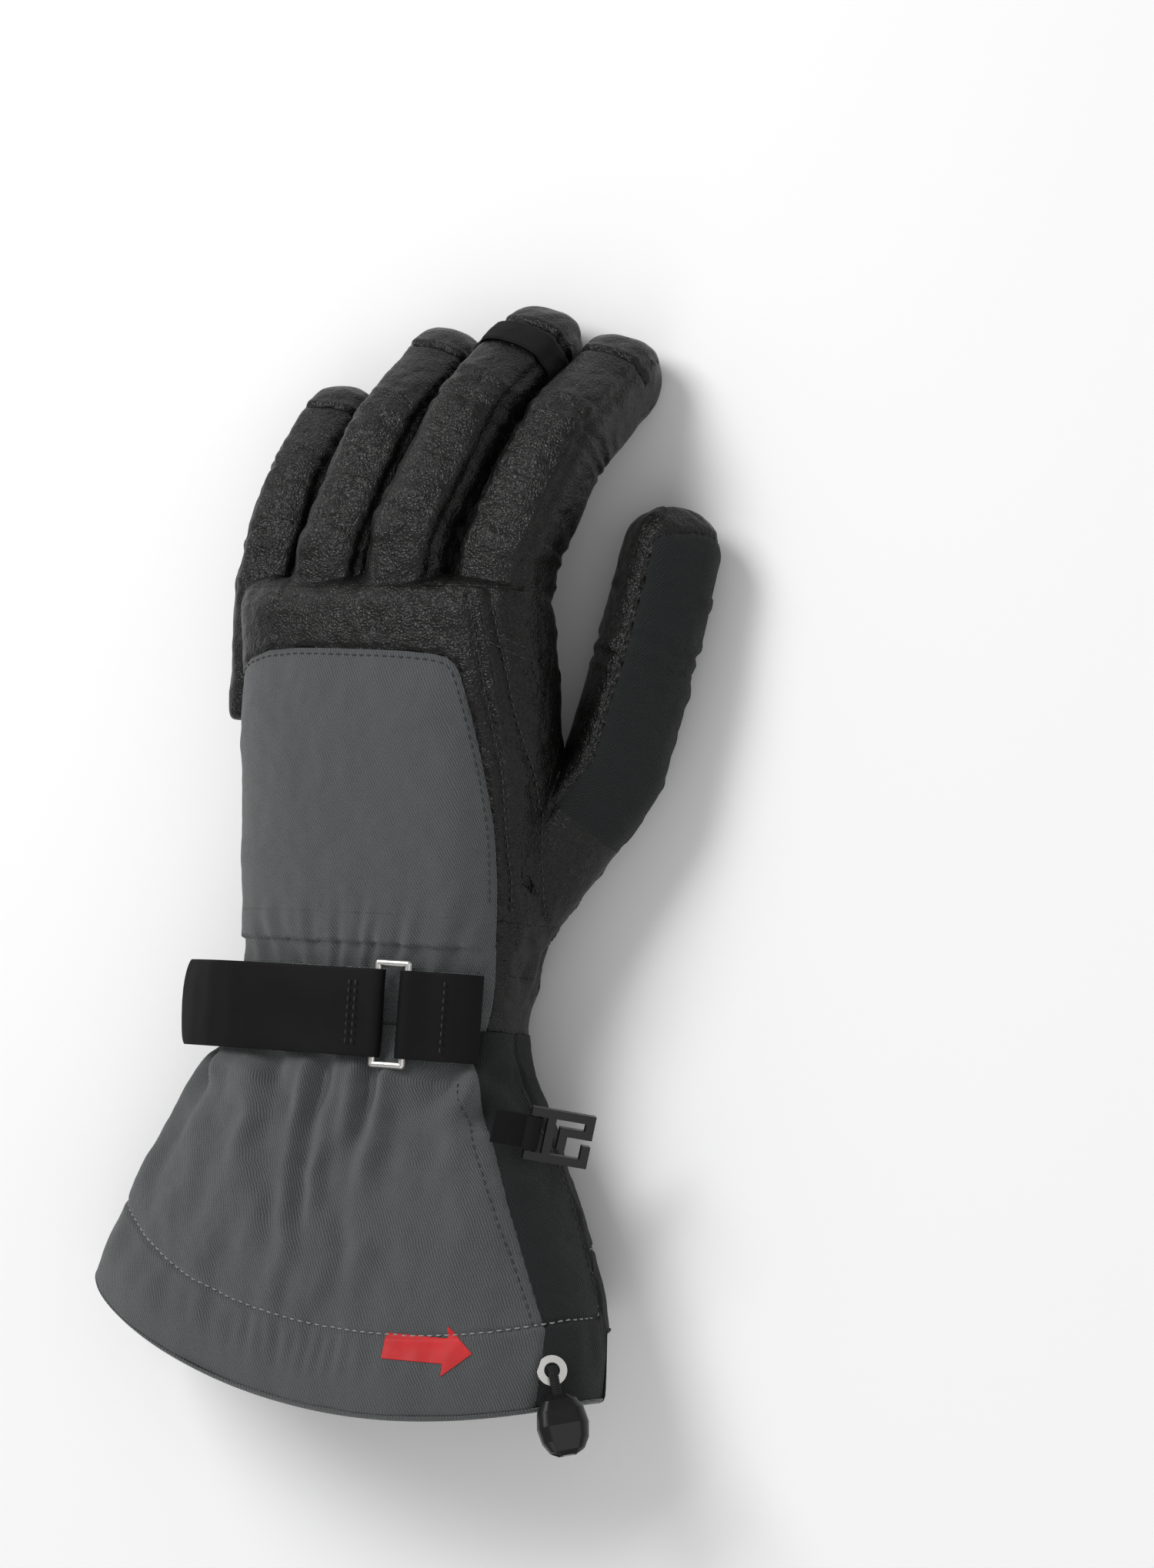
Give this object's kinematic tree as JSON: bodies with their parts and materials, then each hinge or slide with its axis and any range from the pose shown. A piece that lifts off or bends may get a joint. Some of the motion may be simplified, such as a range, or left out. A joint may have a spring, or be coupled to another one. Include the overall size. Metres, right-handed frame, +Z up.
{
  "type": "ski glove",
  "caption": "Left-hand leather ski gauntlet, palm down: curled fingers, twill cuff, wrist strap with a wire ring, and a hem drawcord.",
  "frame": {"origin": "bottom centre of the whole glove's bounding box, on the surface it lies on", "axes": "+Z up through the back of the hand, +Y from the cuff to the fingertips, +X to the thumb"},
  "size_m": [0.183, 0.3278, 0.0679],
  "materials": {
    "leather": "pebbled",
    "grey_twill": "twill weave",
    "black_twill": "twill weave",
    "lining": "brushed fleece",
    "webbing": "matte",
    "cord": "braided",
    "elastic": "ribbed",
    "steel": "satin",
    "moulded_plastic": "gloss",
    "print": "printed"
  },
  "bodies": {
    "cuff": {"cuff_back_panel": "grey_twill", "cuff_gusset": "black_twill", "cuff_palm_panel": "black_twill", "cuff_liner": "lining", "hem_facing": "black_twill", "hem_cord": "cord", "hem_eyelets": "steel", "close_arrow": "print", "clip_webbing": "webbing", "wrist_band_back": "grey_twill", "wrist_band_palm": "black_twill", "wrist_gathers": "leather", "wrist_elastic": "elastic", "strap_lower": "webbing", "strap_anchor": "webbing"},
    "hand": {"hand_back_leather": "leather", "hand_back_panel": "grey_twill", "thumb_side_panel": "leather", "palm_leather": "leather", "palm_patch": "leather", "hand_liner": "lining", "thumb_base_sleeve": "leather", "index_knuckle_sleeve": "leather", "middle_knuckle_sleeve": "leather", "ring_knuckle_sleeve": "leather", "little_knuckle_sleeve": "leather"},
    "thumb_near": {"thumb_near_back": "black_twill", "thumb_near_palm": "leather", "thumb_liner": "lining", "thumb_middle_sleeve": "leather"},
    "thumb_far": {"thumb_far_back": "black_twill", "thumb_far_palm": "leather"},
    "ring_link": {"strap_ring": "steel"},
    "strap_end": {"strap_tail": "webbing"},
    "clip": {"clip_hook": "moulded_plastic"},
    "close_lead": {"close_cord": "cord"},
    "close_pull": {"close_toggle": "moulded_plastic"},
    "open_lead": {"open_cord": "cord"},
    "open_pull": {"open_toggle": "moulded_plastic"},
    "index_near": {"index_near_shell": "leather", "index_middle_sleeve": "leather", "index_liner": "lining"},
    "index_far": {"index_far_shell": "leather", "index_tip_cap": "leather"},
    "middle_near": {"middle_near_shell": "leather", "middle_middle_sleeve": "leather", "middle_liner": "lining"},
    "middle_far": {"middle_far_shell": "leather", "middle_tip_cap": "leather", "middle_pull_band": "webbing"},
    "ring_near": {"ring_near_shell": "leather", "ring_middle_sleeve": "leather", "ring_liner": "lining"},
    "ring_far": {"ring_far_shell": "leather", "ring_tip_cap": "leather"},
    "little_near": {"little_near_shell": "leather", "little_middle_sleeve": "leather", "little_liner": "lining"},
    "little_far": {"little_far_shell": "leather", "little_tip_cap": "leather"}
  },
  "joints": [
    {"name": "wrist_bend", "type": "hinge", "parent": "cuff", "child": "hand", "pos_m": [0.00013, -0.02561, 0.02698], "axis": [-1, 0, 0], "range_deg": [-25, 38], "deforming": ["wrist_gathers"]},
    {"name": "index_knuckle", "type": "hinge", "parent": "hand", "child": "index_near", "pos_m": [0.04113, 0.08689, 0.04658], "axis": [-0.9703, 0.2419, 0], "range_deg": [-20, 55], "deforming": ["index_knuckle_sleeve", "index_liner"]},
    {"name": "index_middle", "type": "hinge", "parent": "index_near", "child": "index_far", "pos_m": [0.04964, 0.12103, 0.03515], "axis": [-0.9703, 0.2419, 0], "range_deg": [-25, 50], "deforming": ["index_middle_sleeve", "index_liner"]},
    {"name": "middle_knuckle", "type": "hinge", "parent": "hand", "child": "middle_near", "pos_m": [0.01333, 0.09088, 0.04928], "axis": [-0.9659, 0.2588, 0], "range_deg": [-20, 58], "deforming": ["middle_knuckle_sleeve", "middle_liner"]},
    {"name": "middle_middle", "type": "hinge", "parent": "middle_near", "child": "middle_far", "pos_m": [0.02342, 0.12855, 0.03661], "axis": [-0.9659, 0.2588, 0], "range_deg": [-25, 50], "deforming": ["middle_middle_sleeve", "middle_liner"]},
    {"name": "ring_knuckle", "type": "hinge", "parent": "hand", "child": "ring_near", "pos_m": [-0.01327, 0.08689, 0.04448], "axis": [-0.9781, 0.2079, 0], "range_deg": [-20, 55], "deforming": ["ring_knuckle_sleeve", "ring_liner"]},
    {"name": "ring_middle", "type": "hinge", "parent": "ring_near", "child": "ring_far", "pos_m": [-0.00568, 0.12262, 0.03401], "axis": [-0.9781, 0.2079, 0], "range_deg": [-25, 50], "deforming": ["ring_middle_sleeve", "ring_liner"]},
    {"name": "little_knuckle", "type": "hinge", "parent": "hand", "child": "little_near", "pos_m": [-0.04007, 0.07888, 0.03418], "axis": [-0.9945, 0.1045, 0], "range_deg": [-20, 40], "deforming": ["little_knuckle_sleeve", "little_liner"]},
    {"name": "little_middle", "type": "hinge", "parent": "little_near", "child": "little_far", "pos_m": [-0.0369, 0.10904, 0.02774], "axis": [-0.9945, 0.1045, 0], "range_deg": [-25, 50], "deforming": ["little_middle_sleeve", "little_liner"]},
    {"name": "thumb_base", "type": "hinge", "parent": "hand", "child": "thumb_near", "pos_m": [0.06563, 0.02588, 0.02058], "axis": [-0.9694, 0.2126, 0.1225], "range_deg": [-20, 18], "deforming": ["thumb_base_sleeve", "thumb_liner"]},
    {"name": "thumb_middle", "type": "hinge", "parent": "thumb_near", "child": "thumb_far", "pos_m": [0.07311, 0.06105, 0.0187], "axis": [-0.9694, 0.2126, 0.1225], "range_deg": [-15, 40], "deforming": ["thumb_middle_sleeve", "thumb_liner"]},
    {"name": "ring_swing", "type": "hinge", "parent": "cuff", "child": "ring_link", "pos_m": [0.02113, -0.04612, 0.05128], "axis": [0, 1, 0], "range_deg": [0, 35]},
    {"name": "strap_peel", "type": "hinge", "parent": "ring_link", "child": "strap_end", "pos_m": [0.01213, -0.04612, 0.05218], "axis": [0, 1, 0], "range_deg": [0, 110]},
    {"name": "clip_swing", "type": "hinge", "parent": "cuff", "child": "clip", "pos_m": [0.06053, -0.07641, 0.04538], "axis": [-0.193, -0.9765, -0.0962], "range_deg": [0, 75]},
    {"name": "close_swing", "type": "hinge", "parent": "cuff", "child": "close_lead", "pos_m": [0.07658, -0.1405, 0.05502], "axis": [-0.8122, -0.2249, 0.5382], "range_deg": [0, 45]},
    {"name": "close_draw", "type": "slide", "parent": "close_lead", "child": "close_pull", "axis": [0.3035, -0.9509, 0.0607], "range_m": [0, 0.04], "deforming": ["close_cord"]},
    {"name": "open_swing", "type": "hinge", "parent": "cuff", "child": "open_lead", "pos_m": [-0.07873, -0.11091, 0.01584], "axis": [0.3148, -0.0944, -0.9444], "range_deg": [-8, 45]},
    {"name": "open_draw", "type": "slide", "parent": "open_lead", "child": "open_pull", "axis": [-0.4224, -0.905, -0.0503], "range_m": [0, 0.012], "deforming": ["open_cord"]}
  ]
}
